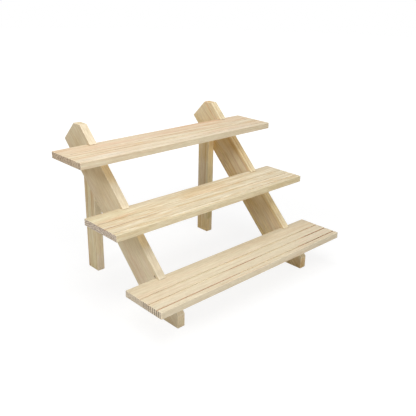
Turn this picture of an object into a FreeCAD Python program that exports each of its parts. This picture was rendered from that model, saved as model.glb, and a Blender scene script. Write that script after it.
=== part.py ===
import FreeCAD, Part
import math
import os

# Three-tier display stand in unfinished wood: two sloping stringers, each held up by a
# vertical rear leg lapped on its inner face, and three loose shelves that push from the
# front into slots cut in the stringers.
#
# Millimetres.  X runs along the shelves, +Y points to the back, +Z up, the floor is Z = 0.
# Construction takes place from the middle of the frame and the stringers' front edge at
# the floor, and the finished pieces are then moved so that the origin lies at the middle
# of the bottom of the whole stand.

# ---- driving dimensions -------------------------------------------------------------

# shelves, three boards alike
shelf_length = 450.0
shelf_depth = 90.0
shelf_thickness = 12.0

# card grooves sawn along the top of each shelf
groove_count = 3
groove_width = 2.0
groove_depth = 1.5
groove_pitch = 21.0
groove_front_margin = 10.5       # front edge of the shelf to the middle of the first groove

# tiers
bottom_tier_height = 70.0        # floor to the top face of each shelf
middle_tier_height = 165.5
top_tier_height = 258.0
bottom_shelf_shift = -3.0        # each shelf's middle, measured from the frame's middle
middle_shelf_shift = -12.0
top_shelf_shift = -11.0

# stringers
shelf_overhang = 57.5            # past a stringer's outer face, on a shelf in the middle
stringer_thickness = 15.0
stringer_width = 64.0            # square across the board
stringer_slope = 45.0            # degrees from the floor
stand_height = 289.0             # floor to the flat crown of the stringers
crown_depth = 21.0               # front to back length of that flat
toe_setback = 24.0               # sharp toe cut back by this much

# slots for the shelves
seat_depth = 11.0                # how far a shelf's top edge lies behind the stringer's edge
slot_play = 0.5                  # room over the shelf
slot_end_clearance = 0.3         # room behind the shelf

# rear legs
leg_thickness = 15.0
leg_depth = 32.0
leg_gap = 9.5                    # behind the top shelf's back edge
leg_top_drop = 6.0               # top of the leg below the top shelf's underside

# countersunk wood screws through the legs
screw_length = 25.0
screw_shank_radius = 1.75
screw_head_radius = 3.6
screw_tip_length = 4.0
screw_hole_clearance = 0.05
screw_front_margin = 7.5         # from the leg's front face to the first screw
screw_rear_margin = 12.0         # square from the stringer's rear edge to both
screw_run = 12.0                 # front to back distance between the two screws

edge_ease = 0.8                  # sanded arris on every board

# ---- derived sizes ------------------------------------------------------------------

slope = math.radians(stringer_slope)
frame_width = shelf_length - 2 * shelf_overhang               # over the outer faces
stringer_half_space = frame_width / 2 - stringer_thickness    # to the inner faces
leg_half_space = stringer_half_space - leg_thickness

tiers = {
    "bottom": (bottom_tier_height, bottom_shelf_shift),
    "middle": (middle_tier_height, middle_shelf_shift),
    "top": (top_tier_height, top_shelf_shift),
}


def front_edge(height):
    """Y of the stringers' front edge at a height."""
    return height / math.tan(slope)


def rear_edge(height):
    """Y of the stringers' rear edge at a height."""
    return front_edge(height) + stringer_width / math.sin(slope)


def shelf_back(height):
    """Y of the back edge of the shelf whose top face lies at a height."""
    return front_edge(height) + seat_depth


leg_front = shelf_back(top_tier_height) + leg_gap
leg_height = top_tier_height - shelf_thickness - leg_top_drop

# The square cut at the top of a stringer runs from the back of the crown to the rear edge.
crown_back = front_edge(stand_height) + crown_depth
cut_length = stringer_width - crown_depth * math.sin(slope)
top_rear_y = crown_back + cut_length * math.sin(slope)
top_rear_z = stand_height - cut_length * math.cos(slope)

# ---- boards -------------------------------------------------------------------------


def eased(solid):
    """The solid with every edge taken off by the sanded arris."""
    return solid.makeChamfer(edge_ease, solid.Edges)


def prism(outline, thickness, start_x):
    """A board from its outline of (y, z) points, thickness along +X from start_x."""
    points = [FreeCAD.Vector(start_x, y, z) for y, z in outline]
    face = Part.Face(Part.makePolygon(points + points[:1]))
    return face.extrude(FreeCAD.Vector(thickness, 0, 0))


def make_shelf(height, shift):
    """A shelf board with its card grooves, at its place in the slots."""
    front = shelf_back(height) - shelf_depth
    corner = FreeCAD.Vector(shift - shelf_length / 2, front, height - shelf_thickness)
    board = eased(Part.makeBox(shelf_length, shelf_depth, shelf_thickness, corner))
    grooves = []
    for index in range(groove_count):
        middle = front + groove_front_margin + index * groove_pitch
        corner = FreeCAD.Vector(shift - shelf_length / 2, middle - groove_width / 2,
                                height - groove_depth)
        grooves.append(Part.makeBox(shelf_length, groove_width, groove_depth, corner))
    return board.cut(grooves)


def make_slot(height, start_x):
    """The space sawn from a stringer's front edge for one shelf."""
    bottom = height - shelf_thickness
    end = shelf_back(height) + slot_end_clearance
    mouth = front_edge(bottom) - shelf_thickness    # well out of the sloping edge
    corner = FreeCAD.Vector(start_x, mouth, bottom)
    return Part.makeBox(stringer_thickness, end - mouth, shelf_thickness + slot_play, corner)


def make_stringer(start_x):
    """A sloping side board: toe cut upright, end cut square, its tip cut to a level crown."""
    outline = [
        (toe_setback, 0),
        (rear_edge(0), 0),
        (top_rear_y, top_rear_z),
        (crown_back, stand_height),
        (front_edge(stand_height), stand_height),
        (toe_setback, toe_setback * math.tan(slope)),
    ]
    board = eased(prism(outline, stringer_thickness, start_x))
    return board.cut([make_slot(height, start_x) for height, _ in tiers.values()])


def make_leg(start_x):
    """An upright rear leg."""
    corner = FreeCAD.Vector(start_x, leg_front, 0)
    return eased(Part.makeBox(leg_thickness, leg_depth, leg_height, corner))


# ---- screws -------------------------------------------------------------------------


def screw_places():
    """The (y, z) of each screw, in a row beside the stringer's rear edge."""
    places = []
    for step in (0, screw_run):
        y = leg_front + screw_front_margin + step
        rear_edge_height = (y - rear_edge(0)) * math.tan(slope)
        places.append((y, rear_edge_height + screw_rear_margin / math.cos(slope)))
    return places


def make_screw(head_x, side, y, z, clearance=0.0):
    """A countersunk screw, or its hole when given a clearance, driven towards the side."""
    shank = screw_shank_radius + clearance
    head = screw_head_radius + clearance
    outline = [
        (0, 0),
        (0, head),
        (head - shank, shank),
        (screw_length - screw_tip_length, shank),
        (screw_length + clearance, 0),
    ]
    points = [FreeCAD.Vector(head_x + side * depth, y + radius, z) for depth, radius in outline]
    face = Part.Face(Part.makePolygon(points + points[:1]))
    axis_point = FreeCAD.Vector(head_x, y, z)
    return face.revolve(axis_point, FreeCAD.Vector(1, 0, 0), 360)


# ---- assembly -----------------------------------------------------------------------

parts = {}
for name, (height, shift) in tiers.items():
    parts[name + "_shelf"] = make_shelf(height, shift)

for name, side in (("left", -1), ("right", 1)):
    stringer_x = min(side * stringer_half_space, side * frame_width / 2)
    leg_x = min(side * leg_half_space, side * stringer_half_space)
    head_x = side * leg_half_space
    holes = [make_screw(head_x, side, y, z, screw_hole_clearance) for y, z in screw_places()]
    screws = [make_screw(head_x, side, y, z) for y, z in screw_places()]
    parts[name + "_stringer"] = make_stringer(stringer_x).cut(holes)
    parts[name + "_leg"] = make_leg(leg_x).cut(holes)
    parts[name + "_leg_screws"] = Part.makeCompound(screws)

box = Part.makeCompound(list(parts.values())).BoundBox
origin = FreeCAD.Vector((box.XMin + box.XMax) / 2, (box.YMin + box.YMax) / 2, 0)

os.makedirs("parts", exist_ok=True)
for node, shape in parts.items():
    shape.translate(origin.negative())
    solids = shape.Solids
    print(node, len(solids), "solid", round(shape.Volume, 1), "mm3", shape.isValid())
    shape.exportStep(os.path.join("parts", node + ".step"))
print("size", round(box.XLength, 2), round(box.YLength, 2), round(box.ZLength, 2))
print("origin", round(origin.x, 3), round(origin.y, 3))
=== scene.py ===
import math
import bmesh
import bpy
from mathutils import Matrix, Vector, noise


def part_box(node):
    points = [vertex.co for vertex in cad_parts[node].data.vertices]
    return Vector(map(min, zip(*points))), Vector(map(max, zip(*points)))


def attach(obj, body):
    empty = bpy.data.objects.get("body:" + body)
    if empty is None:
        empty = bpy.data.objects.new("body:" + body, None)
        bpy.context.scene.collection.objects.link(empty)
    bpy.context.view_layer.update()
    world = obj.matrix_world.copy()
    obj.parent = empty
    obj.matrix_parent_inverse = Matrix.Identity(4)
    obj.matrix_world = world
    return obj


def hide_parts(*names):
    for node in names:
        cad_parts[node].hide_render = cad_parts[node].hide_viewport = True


# Three-tier display stand: two sloping stringers on rear legs and three grooved shelves,
# all in bare pine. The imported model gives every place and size, in metres.
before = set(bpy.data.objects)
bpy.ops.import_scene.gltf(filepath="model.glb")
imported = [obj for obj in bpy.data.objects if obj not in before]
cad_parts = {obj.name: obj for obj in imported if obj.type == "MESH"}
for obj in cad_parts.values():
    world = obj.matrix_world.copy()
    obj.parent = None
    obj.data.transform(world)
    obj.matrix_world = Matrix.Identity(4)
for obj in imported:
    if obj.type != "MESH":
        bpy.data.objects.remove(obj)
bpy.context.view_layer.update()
mm = 0.001
print("frame loaded with", len(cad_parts), "nodes")


# nodes, for materials and for Geometry Nodes alike

def put(tree, kind, values=None, **settings):
    # a new node, with its inputs set or linked
    node = tree.nodes.new(kind)
    for name, value in settings.items():
        setattr(node, name, value)
    for key, value in (values or {}).items():
        feed(tree, node.inputs[key], value)
    return node


def wire(tree, kind, values=None, output=0, **settings):
    return Wire(tree, put(tree, kind, values, **settings).outputs[output])


def feed(tree, socket, value):
    if isinstance(value, Wire):
        value = value.socket
    if isinstance(value, bpy.types.NodeSocket):
        tree.links.new(value, socket)
    else:
        socket.default_value = value


class Wire:
    # what a node gives out; on numbers, plain arithmetic adds Math nodes
    def __init__(self, tree, socket):
        self.tree, self.socket = tree, socket

    def calc(self, operation, *others):
        values = dict(enumerate((self, *others)))
        return wire(self.tree, "ShaderNodeMath", values, operation=operation)

    def __add__(self, other):
        return self.calc("ADD", other)

    def __radd__(self, other):
        return self.calc("ADD", other)

    def __sub__(self, other):
        return self.calc("SUBTRACT", other)

    def __rsub__(self, other):
        return wire(self.tree, "ShaderNodeMath", {0: other, 1: self}, operation="SUBTRACT")

    def __mul__(self, other):
        return self.calc("MULTIPLY", other)

    def __rmul__(self, other):
        return self.calc("MULTIPLY", other)

    def __truediv__(self, other):
        return self.calc("DIVIDE", other)

    def below(self, other):
        return self.calc("LESS_THAN", other)

    def above(self, other):
        return self.calc("GREATER_THAN", other)

    def ease(self, low, high, toLow=0.0, toHigh=1.0):
        # a smooth step from low to high
        values = {0: self, 1: low, 2: high, 3: toLow, 4: toHigh}
        return wire(self.tree, "ShaderNodeMapRange", values, interpolation_type="SMOOTHSTEP")


def vectors(tree, operation, *values):
    output = "Value" if operation in ("LENGTH", "DOT_PRODUCT") else "Vector"
    return wire(tree, "ShaderNodeVectorMath", dict(enumerate(values)), output, operation=operation)


def joined(tree, x, y, z):
    # three numbers as one vector
    return wire(tree, "ShaderNodeCombineXYZ", {0: x, 1: y, 2: z})


def parted(tree, vector):
    # and one vector as its three numbers
    return [Wire(tree, s) for s in put(tree, "ShaderNodeSeparateXYZ", {0: vector}).outputs]


def newTree(name, kind, takes, gives):
    # a node tree with named inputs, whose values here are what the user may change
    words = {int: "Int", float: "Float", tuple: "Vector"}
    tree = bpy.data.node_groups.new(name, kind)
    for label, value in takes.items():
        word = value if isinstance(value, str) else words[type(value)]
        socket = tree.interface.new_socket(name=label, in_out="INPUT",
                                           socket_type="NodeSocket" + word)
        if word != value:
            socket.default_value = value
    for label in gives:
        word = label if label == "Geometry" else "Float"
        tree.interface.new_socket(name=label, in_out="OUTPUT", socket_type="NodeSocket" + word)
    start, end = tree.nodes.new("NodeGroupInput"), tree.nodes.new("NodeGroupOutput")
    wires = {s.name: Wire(tree, s) for s in start.outputs if s.name}
    return tree, wires, end.inputs


def clearedTree(owner):
    # the nodes of a material or a world, ready to be laid anew
    owner.use_nodes = True
    owner.node_tree.nodes.clear()
    return owner.node_tree


def layOut(tree):
    # columns of nodes by how far each is from the end, so that the tree can be read
    depth = {}

    def visit(node, steps):
        if depth.get(node.name, -1) >= steps:
            return
        depth[node.name] = steps
        for socket in node.inputs:
            for link in socket.links:
                visit(link.from_node, steps + 1)

    for node in tree.nodes:
        if not any(s.is_linked for s in node.outputs):
            visit(node, 0)
    rows = {}
    for node in tree.nodes:
        column = depth.get(node.name, 0)
        rows[column] = rows.get(column, 0) + 1
        node.location = (-220 * column, -190 * rows[column])
        node.hide = len(node.inputs) > 6


def choose(tree, condition, yes, no):
    values = {"Switch": condition, "True": yes, "False": no}
    return wire(tree, "GeometryNodeSwitch", values, input_type="FLOAT")


def movedTo(tree, geometry, spot):
    return wire(tree, "GeometryNodeSetPosition", {"Geometry": geometry, "Position": spot})


def joinedShapes(tree, *shapes):
    whole = put(tree, "GeometryNodeJoinGeometry")
    for shape in shapes:
        feed(tree, whole.inputs[0], shape)
    return Wire(tree, whole.outputs[0])


def endTree(tree, take, give, geometry):
    # real geometry with its material is what the tree gives
    single = wire(tree, "GeometryNodeRealizeInstances", {0: geometry})
    feed(tree, give["Geometry"], wire(tree, "GeometryNodeSetMaterial",
                                      {0: single, "Material": take["Material"]}))
    layOut(tree)
    return tree


def addObject(name, data):
    thing = bpy.data.objects.new(name, data)
    bpy.context.scene.collection.objects.link(thing)
    return thing


# wood, as groups that each board's material places with its own values

ringNoise = {                          # cells a metre along and across, detail, share of the wobble
    "slow": ((3.2, 15, 15), 1.5, 2.4),
    "quick": ((16, 120, 120), 2.0, 0.32),
}
fibreNoise = {                         # cells a metre, detail, and what it is eased between
    "Drift": ((3.5, 24, 24), 2.0),     # broad changes of tone
    "Streak": ((7, 240, 240), 3.0),
    "Fibre": ((60, 1900, 1900), 2.0),
    "Blush": ((8, 90, 90), 1.5, 0.45, 0.75),
    "Canal": ((120, 2300, 2300), 0.0, 0.72, 0.82),
}
endNoise = {                           # the same, for end grain
    "Cell": ((10, 2600, 2600), 1.0),
    "Saw": ((10, 70, 1500), 2.0),
    "Grit": ((10, 620, 620), 1.0),
    "Blot": ((10, 330, 330), 1.5, 0.5, 0.68),
}
middleGrey = (0.5, 0.5, 0.5)


def stretchedNoise(tree, vector, stretch, seed, detail=2.0, colour=False, crisp=0.5):
    # noise with so many cells a metre along each axis
    moved = vectors(tree, "ADD", vectors(tree, "MULTIPLY", vector, stretch), seed)
    values = {"Vector": moved, "Scale": 1.0, "Detail": detail, "Roughness": crisp}
    return wire(tree, "ShaderNodeTexNoise", values, int(colour))


def swayNoise(tree, vector, stretch, seed, detail):
    # the same as a shift to every side, half a unit at most
    return vectors(tree, "SUBTRACT", stretchedNoise(tree, vector, stretch, seed, detail, True),
                   middleGrey)


def giveNoises(tree, give, vector, seed, table):
    # one noise of the table for each output, eased where the table says so
    for label, (stretch, detail, *between) in table.items():
        value = stretchedNoise(tree, vector, stretch, seed, detail)
        feed(tree, give[label], value.ease(*between) if between else value)


def seedVector(tree, seed):
    return joined(tree, seed * 17.31, seed * 5.77, seed * 9.13)


def growthRingGroup():
    # rings round a pith that runs along X, wandering as a trunk does
    takes = {"Vector": (0.0, 0.0, 0.0), "Spacing": 0.005, "Unevenness": 2.2, "Wobble": 0.002,
             "Seed": 1.0}
    tree, take, give = newTree("growthRings", "ShaderNodeTree", takes,
                               ("Latewood", "Ring Tone", "Angle", "Radius"))
    seed = seedVector(tree, take["Seed"])
    bent = take["Vector"]
    for stretch, detail, share in ringNoise.values():
        sway = swayNoise(tree, take["Vector"], stretch, seed, detail)
        sway = wire(tree, "ShaderNodeVectorMath", {0: sway, 3: take["Wobble"] * share},
                    operation="SCALE")
        bent = vectors(tree, "ADD", bent, sway)
    x, y, z = parted(tree, bent)
    radius = vectors(tree, "LENGTH", joined(tree, 0.0, y, z))
    widths = wire(tree, "ShaderNodeTexNoise", {"W": radius * 48 + take["Seed"], "Scale": 1.0,
                  "Detail": 1.0}, noise_dimensions="1D")
    turns = radius / take["Spacing"] + widths * take["Unevenness"]
    part = turns.calc("FRACT")
    number = turns.calc("FLOOR")
    late = part.ease(0.4, 0.9) * part.ease(0.93, 1.0, 1.0, 0.0)
    year, tone = (wire(tree, "ShaderNodeTexWhiteNoise", {"W": value}, noise_dimensions="1D")
                  for value in (number + take["Seed"], number * 1.7 + 31.0))
    feed(tree, give["Latewood"], late * (year * 0.6 + 0.4))
    feed(tree, give["Ring Tone"], tone)
    feed(tree, give["Angle"], y.calc("ARCTAN2", z))
    feed(tree, give["Radius"], radius)
    layOut(tree)
    return tree


def fibreGroup():
    # long fibres that wander sideways, thin lines and pale flecks, and short resin canals
    takes = {"Vector": (0.0, 0.0, 0.0), "Waver": 0.002, "Lines": 200.0, "Seed": 1.0}
    tree, take, give = newTree("woodFibres", "ShaderNodeTree", takes,
                               (*fibreNoise, "Line", "Fleck", "Speckle"))
    seed = seedVector(tree, take["Seed"])
    sway = swayNoise(tree, take["Vector"], (7, 14, 14), seed, 1.0)
    waver = take["Waver"] * 4.0
    sway = vectors(tree, "MULTIPLY", sway, joined(tree, 0.0, waver, waver))
    grain = vectors(tree, "ADD", take["Vector"], sway)
    lines = joined(tree, 5.0, take["Lines"], take["Lines"])
    flecks = joined(tree, 11.0, take["Lines"] * 0.8, take["Lines"] * 0.8)
    giveNoises(tree, give, grain, seed, {**fibreNoise, "Line": (lines, 1.5, 0.5, 0.62),
                                         "Fleck": (flecks, 1.5, 0.46, 0.36)})
    feed(tree, give["Speckle"], stretchedNoise(tree, grain, (55, 540, 540), seed, 5.0, crisp=0.72))
    layOut(tree)
    return tree


def endGrainGroup():
    # where a face cuts across the fibres, with rays and open cells
    takes = {"Vector": (0.0, 0.0, 0.0), "Normal": (0.0, 0.0, 1.0), "Fibre Axis": (1.0, 0.0, 0.0),
             "Angle": 0.0, "Radius": 0.0, "Seed": 1.0}
    tree, take, give = newTree("endGrain", "ShaderNodeTree", takes, ("Mask", "Ray", *endNoise))
    facing = vectors(tree, "DOT_PRODUCT", take["Normal"], take["Fibre Axis"]).calc("ABSOLUTE")
    feed(tree, give["Mask"], facing.ease(0.78, 0.97))
    polar = joined(tree, take["Angle"] * 210, take["Radius"] * 70, take["Seed"])
    feed(tree, give["Ray"], wire(tree, "ShaderNodeTexNoise",
                                 {"Vector": polar, "Scale": 1.0, "Detail": 2.0}))
    giveNoises(tree, give, take["Vector"], seedVector(tree, take["Seed"]), endNoise)
    layOut(tree)
    return tree


def streakGroup():
    # one long streak of colour at a place on a board, fading at its ends
    takes = {"Vector": (0.0, 0.0, 0.0), "Along": 0.0, "Reach": 0.1, "Across": 0.0, "Width": 0.003,
             "Lean": 0.0, "Wander": 0.002, "Patchy": 0.65, "Seed": 1.0}
    tree, take, give = newTree("colourStreak", "ShaderNodeTree", takes, ("Mask",))
    x, y, z = parted(tree, take["Vector"])
    seed = seedVector(tree, take["Seed"])
    bend = stretchedNoise(tree, joined(tree, x, take["Seed"], 0.0), (14, 1, 1), seed, 1.0) - 0.5
    offset = y - take["Across"] - (x - take["Along"]) * take["Lean"] - bend * take["Wander"] * 2.0
    breadth = (offset / take["Width"]).calc("ABSOLUTE").ease(0.0, 1.0, 1.0, 0.0)
    ends = ((x - take["Along"]) / take["Reach"]).calc("ABSOLUTE").ease(0.45, 1.0, 1.0, 0.0)
    thin = stretchedNoise(tree, take["Vector"], (22, 420, 420), seed).ease(0.25, 0.7, 1.0, 0.0)
    feed(tree, give["Mask"], breadth * ends * (1.0 - thin * take["Patchy"]))
    layOut(tree)
    return tree


groups = {"rings": growthRingGroup(), "fibres": fibreGroup(), "end": endGrainGroup(),
          "streak": streakGroup()}
print("wood groups made")


def tint(red, green, blue):
    # a colour written as 0 to 255, as a screen shows it
    linear = [((c / 255 + 0.055) / 1.055) ** 2.4 if c > 10 else c / 255 / 12.92
              for c in (red, green, blue)]
    return (*linear, 1.0)


def blend(tree, factor, under, over, mode="MIX"):
    values = {0: factor, 6: under, 7: over}
    return wire(tree, "ShaderNodeMix", values, 2, data_type="RGBA", blend_type=mode)


def useGroup(tree, key, values):
    node = put(tree, "ShaderNodeGroup", values, node_tree=groups[key])
    return {s.name: Wire(tree, s) for s in node.outputs}


plainPine = {
    "light": tint(228, 214, 184),      # spring wood
    "late": tint(206, 172, 124),       # summer wood
    "warm": tint(224, 196, 160),       # broad warmer drifts
    "line": tint(205, 156, 104),       # thin darker lines
    "pale": tint(246, 236, 212),       # pale flecks
    "blush": tint(230, 200, 178),      # faint pink patches
    "canal": tint(158, 112, 74),
    "endLight": tint(222, 206, 186),
    "endLate": tint(138, 104, 88),
    "blot": tint(160, 122, 98),        # darker spots in the end grain
    "toast": tint(206, 150, 108),      # where the saw ran warm
    "burn": tint(158, 92, 44),         # and where it has scorched the wood
    "freshCutAndPaintedLight": tint(255, 244, 216),      # sawn grooves and slots, paler as fresh cuts and with painted light lifting the shade inside them
    "handled": tint(250, 238, 214),    # sanded arrises
    # how strongly each of them covers
    "ringDepth": 0.5, "endDepth": 0.85, "warmth": 0.3, "lineDepth": 0.4, "paleDepth": 0.35,
    "blushDepth": 0.3, "canalDepth": 0.25, "blotDepth": 0.35,
    # how far light and dark lie apart, along the grain and in the end grain
    "streakDepth": 0.12, "fibreDepth": 0.06, "speckleDepth": 0.34,
    "endShading": {"Ray": 0.1, "Cell": 0.15, "Saw": 0.08, "Grit": 0.4},
    "lines": 200.0,                    # thin lines in a metre across
    "spacing": 5.2 * mm,               # of the rings
    "unevenness": 2.2,                 # of that spacing
    "wobble": 2.0 * mm,                # of the trunk
    "waver": 1.0 * mm,                 # of the fibres
    "pith": (0.03, -0.05),             # across and through, from the board's middle
    "tilt": (0.0, 0.0),                # degrees between board and trunk
    "relief": 0.09 * mm,
    "calmEnd": 1.0,                    # beyond this place across, the end grain is nearly plain
    "streaksAndPaintedLight": (),
}


# a streak of colour, used for the wood's own marks and for patches of painted light and shade
def streak(along, reach, across, width, depth, colour, lean=0.0, wander=1.5, patchy=0.65,
           onEdge=False):
    # along and across place it, in mm from its board's middle; reach and width are half its size
    place = {"Along": along * mm, "Reach": reach * mm, "Across": across * mm, "Width": width * mm,
             "Lean": lean, "Wander": wander * mm, "Patchy": patchy}
    return {"place": place, "depth": depth, "colour": tint(*colour), "onEdge": onEdge}


def paintedFrontLightAndShade(along, reach, across, width, depth, colour, patchy=0.2):
    # painted light and shade on a stretch of a board's narrow front face
    return streak(along, reach, across, width, depth, colour, wander=0.0, patchy=patchy)


def paintedShadeAndLightBand(along, width, depth, colour, patchy=0.65):
    # a level band of painted shade and light on a sloping board, changing the tone at one height
    return streak(along, 400, 0, width, depth, colour, lean=-1.0, patchy=patchy)


def woodMaterial(name, centre, fibre, sideways, look, seed):
    # fibre and sideways are the board's own directions
    look = {**plainPine, **look}
    material = bpy.data.materials.new(name)
    tree = clearedTree(material)
    place = put(tree, "ShaderNodeTexCoord")
    axes = Matrix((Vector(fibre), Vector(sideways), Vector(fibre).cross(Vector(sideways))))
    board = wire(tree, "ShaderNodeMapping", {"Vector": place.outputs["Object"],
                 "Rotation": axes.to_euler(), "Location": -(axes @ Vector(centre))}, label="board")
    log = wire(tree, "ShaderNodeMapping", {"Vector": board,
               "Location": (0.0, -look["pith"][0], -look["pith"][1]),
               "Rotation": (0.0, *(math.radians(turn) for turn in look["tilt"]))}, label="log")
    rings = useGroup(tree, "rings", {"Vector": log, "Spacing": look["spacing"],
                     "Unevenness": look["unevenness"], "Wobble": look["wobble"], "Seed": seed})
    fibres = useGroup(tree, "fibres", {"Vector": board, "Waver": look["waver"],
                      "Lines": look["lines"], "Seed": seed})
    end = useGroup(tree, "end", {"Vector": board, "Normal": place.outputs["Normal"],
                   "Fibre Axis": fibre, "Angle": rings["Angle"], "Radius": rings["Radius"],
                   "Seed": seed})
    along, across, through = parted(tree, board)
    arris, sawn, burn = (wire(tree, "ShaderNodeAttribute", output="Fac", attribute_name=label)
                         for label in ("arris", "sawn", "burn"))
    sawn, burn = sawn * (1.0 - end["Mask"]), burn * (1.0 - end["Mask"])

    # long grain, with streaks that are partly the wood's own and partly painted light and shade
    drift = fibres["Drift"]
    late = rings["Latewood"] * look["ringDepth"] * drift.ease(0.3, 0.7, 0.55, 1.0)
    colour = blend(tree, late, look["light"], look["late"])
    lines = fibres["Line"] * drift.ease(0.35, 0.6, 0.45, 1.0)
    for cover, over in ((drift.ease(0.35, 0.75) * look["warmth"], "warm"),
                        (fibres["Blush"] * look["blushDepth"], "blush"),
                        (lines * look["lineDepth"], "line"),
                        (fibres["Fleck"] * look["paleDepth"], "pale")):
        colour = blend(tree, cover, colour, look[over])
    # streaks of the wood's own colour and its burns, and patches and bands of painted light and
    # shade
    for number, plan in enumerate(look["streaksAndPaintedLight"]):
        spot = joined(tree, along, through, across) if plan["onEdge"] else board
        mark = useGroup(tree, "streak", {"Vector": spot, **plan["place"],
                                         "Seed": seed + 3.0 * number})
        colour = blend(tree, mark["Mask"] * plan["depth"], colour, plan["colour"])
    shade = 1.0 - (rings["Ring Tone"] - 0.5) * 0.03
    for label in ("Streak", "Fibre", "Speckle"):
        shade = shade - (fibres[label] - 0.5) * (look[label.lower() + "Depth"] * 2.0)
    warmShade = joined(tree, shade.calc("POWER", 0.8), shade, shade.calc("POWER", 1.35))
    colour = blend(tree, 1.0, colour, warmShade, "MULTIPLY")
    colour = blend(tree, fibres["Canal"] * look["canalDepth"], colour, look["canal"])

    # end grain, darker, with the rings standing out
    calm = across.ease(look["calmEnd"] - 4 * mm, look["calmEnd"] + 4 * mm, 1.0, 0.12)
    endLate = rings["Latewood"] * look["endDepth"] * calm
    endColour = blend(tree, endLate, look["endLight"], look["endLate"])
    endColour = blend(tree, end["Blot"] * look["blotDepth"], endColour, look["blot"])
    endShade = 1.0 - (1.0 - calm) * 0.1
    for label, depth in look["endShading"].items():
        endShade = endShade - (end[label] - 0.5) * (depth * 2.0)
    endColour = blend(tree, 1.0, endColour, joined(tree, endShade, endShade, endShade), "MULTIPLY")
    colour = blend(tree, end["Mask"], colour, endColour)

    # tool marks and wear, with painted light in the sawn grooves and slots
    uneven = fibres["Streak"].ease(0.2, 0.6, 0.7, 1.0)
    for cover, over in ((sawn * 0.6, "freshCutAndPaintedLight"), (burn.ease(0.0, 0.5) * uneven, "toast"),
                        (burn.ease(0.45, 1.0) * uneven, "burn"),
                        (arris * 0.3 * (1.0 - end["Mask"] * 0.6), "handled")):
        colour = blend(tree, cover, colour, look[over])

    rough = 0.62 + (fibres["Fibre"] - 0.5) * 0.14 + end["Mask"] * 0.2 + sawn * 0.1
    rough = rough - rings["Latewood"] * 0.08
    ridges = fibres["Fibre"] * 0.35 + fibres["Streak"] * 0.3
    ridges = ridges - rings["Latewood"] * 0.25 - fibres["Canal"] * 0.5
    crossCut = end["Cell"] * 0.8 + end["Saw"] * 0.9
    height = ridges + (crossCut - ridges) * end["Mask"]
    bump = wire(tree, "ShaderNodeBump", {"Strength": 0.6, "Distance": look["relief"],
                "Height": height})
    shader = wire(tree, "ShaderNodeBsdfPrincipled", {"Base Color": colour, "Roughness": rough,
                  "Normal": bump, "Specular IOR Level": 0.3})
    put(tree, "ShaderNodeOutputMaterial", {"Surface": shader})
    layOut(tree)
    return material


# boards

boardShape = {
    "arris": 0.8 * mm,                 # rounding of the outer edges
    "sawnArris": 0.25 * mm,            # and of edges left by the saw
    "rub": 0.14 * mm,                  # how unevenly they are sanded
    "sawHeat": 0.05,                   # how brown any sawn face is
    "spacing": 8.0 * mm,               # of the mesh's rows
}
mapLayout = {
    "margin": 1.5 * mm,                # between the pieces of a board's map
    "overlap": 30.0 * mm,              # of the rows of a rolled out side
    "hole": 10.0 * mm,                 # room for the inside of screw holes
}
arcSteps, lipSteps, easeSteps = 4, 3, 3  # round a corner, a groove's lip and a face edge


def finishBoard(name, mesh, seed):
    # sanded arrises are never quite even, and flat faces keep flat shading beside them
    arris = mesh.attributes["arris"].data
    for vertex in mesh.vertices:
        weight = min(arris[vertex.index].value, 1.0)
        if weight > 0.01:
            spot = vertex.co * 45 + Vector((seed, 0, 0))
            rub = 0.5 + 0.5 * noise.noise(spot) + 0.35 * noise.noise(spot * 4.3)
            vertex.co -= vertex.normal * (boardShape["rub"] * weight * max(rub, 0.0))
    board = addObject(name, mesh)
    mesh.shade_smooth()
    markSharp(mesh, degrees=36)
    weighted = board.modifiers.new("flatFaces", "WEIGHTED_NORMAL")
    weighted.keep_sharp = True
    return board


def markSharp(mesh, degrees):
    shape = bmesh.new()
    shape.from_mesh(mesh)
    for edge in shape.edges:
        edge.smooth = edge.is_manifold and edge.calc_face_angle(0.0) < math.radians(degrees)
    shape.to_mesh(mesh)
    shape.free()


def settle(mesh):
    # doubles merged and faces turned outwards
    shape = bmesh.new()
    shape.from_mesh(mesh)
    bmesh.ops.remove_doubles(shape, verts=shape.verts, dist=1e-6)
    bmesh.ops.dissolve_degenerate(shape, edges=shape.edges, dist=1e-6)
    bmesh.ops.recalc_face_normals(shape, faces=shape.faces)
    shape.to_mesh(mesh)
    shape.free()
    return mesh


def evaluated(board):
    # a plain mesh of the object as its modifiers leave it
    depsgraph = bpy.context.evaluated_depsgraph_get()
    return bpy.data.meshes.new_from_object(board.evaluated_get(depsgraph),
                                           preserve_all_data_layers=True, depsgraph=depsgraph)


def makePlain(board):
    mesh = evaluated(board)
    board.modifiers.clear()
    board.data = mesh
    mesh.name = board.name
    return board


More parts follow.
